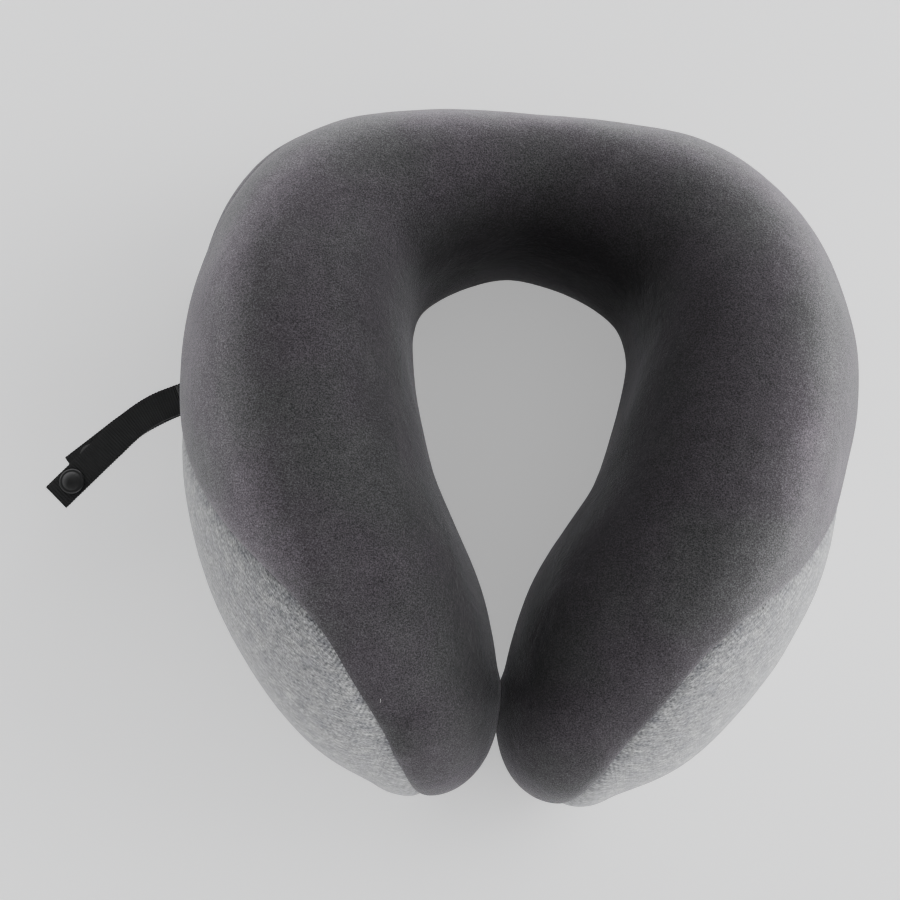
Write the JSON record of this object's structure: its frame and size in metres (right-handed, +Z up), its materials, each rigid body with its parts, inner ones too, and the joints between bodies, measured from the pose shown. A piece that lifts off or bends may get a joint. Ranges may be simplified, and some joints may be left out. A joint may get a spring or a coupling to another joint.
{
  "type": "neck pillow",
  "caption": "U-shaped memory foam neck pillow with a velour top, grey jersey side panels, a zipped cover and a snap strap on one side",
  "frame": {"origin": "on the surface the pillow stands on, at the centre of the neck opening", "axes": "+Z up; +Y to the closed back of the U, so the gap between the tips is at -Y; +X to the side without the strap"},
  "size_m": [0.3347, 0.2907, 0.1216],
  "materials": {
    "velour": "matte",
    "jersey": "matte",
    "foam": "matte",
    "liner_knit": "matte",
    "zip_tape": "matte",
    "webbing": "matte",
    "label_satin": "satin",
    "black_plastic": "satin",
    "dark_metal": "satin"
  },
  "bodies": {
    "pillow": {"foam_core": "foam", "inner_liner": "liner_knit", "cover_top_panel": "velour", "cover_side_panel_left": "jersey", "cover_side_panel_right": "jersey", "cover_rear_panel": "velour", "cover_base_panel": "velour", "zipper_tape_lower": "zip_tape", "zipper_tape_upper": "zip_tape", "zipper_coil_lower": "black_plastic", "zipper_coil_upper": "black_plastic", "zipper_stop_left": "dark_metal", "zipper_stop_right": "dark_metal", "care_label": "label_satin", "strap_anchor": "webbing"},
    "zip_slider": {"zipper_slider": "dark_metal"},
    "zip_pull": {"zipper_pull": "dark_metal"},
    "upper_tail": {"strap_tail_upper": "webbing", "snap_cap_upper": "black_plastic", "snap_socket": "black_plastic"},
    "lower_tail": {"strap_tail_lower": "webbing", "snap_cap_lower": "black_plastic", "snap_stud": "black_plastic"}
  },
  "joints": [
    {"name": "zip_travel", "type": "hinge", "parent": "pillow", "child": "zip_slider", "pos_m": [0, -0.116, 0.0086], "axis": [0, 0, 1], "range_deg": [0, 38]},
    {"name": "pull_swing", "type": "hinge", "parent": "zip_slider", "child": "zip_pull", "pos_m": [0.07433, 0.09986, 0.00669], "axis": [0.1324, 0.3846, 0.9135], "range_deg": [0, 150]},
    {"name": "upper_tail_bend", "type": "hinge", "parent": "pillow", "child": "upper_tail", "pos_m": [-0.1402, -0.0133, 0.0256], "axis": [-0.4067, 0.9135, 0], "range_deg": [0, 70], "stiffness_Nm_per_rad": 0.01},
    {"name": "lower_tail_bend", "type": "hinge", "parent": "pillow", "child": "lower_tail", "pos_m": [-0.1402, -0.0133, 0.0236], "axis": [-0.4067, 0.9135, 0], "range_deg": [-11, 0], "stiffness_Nm_per_rad": 0.01}
  ]
}
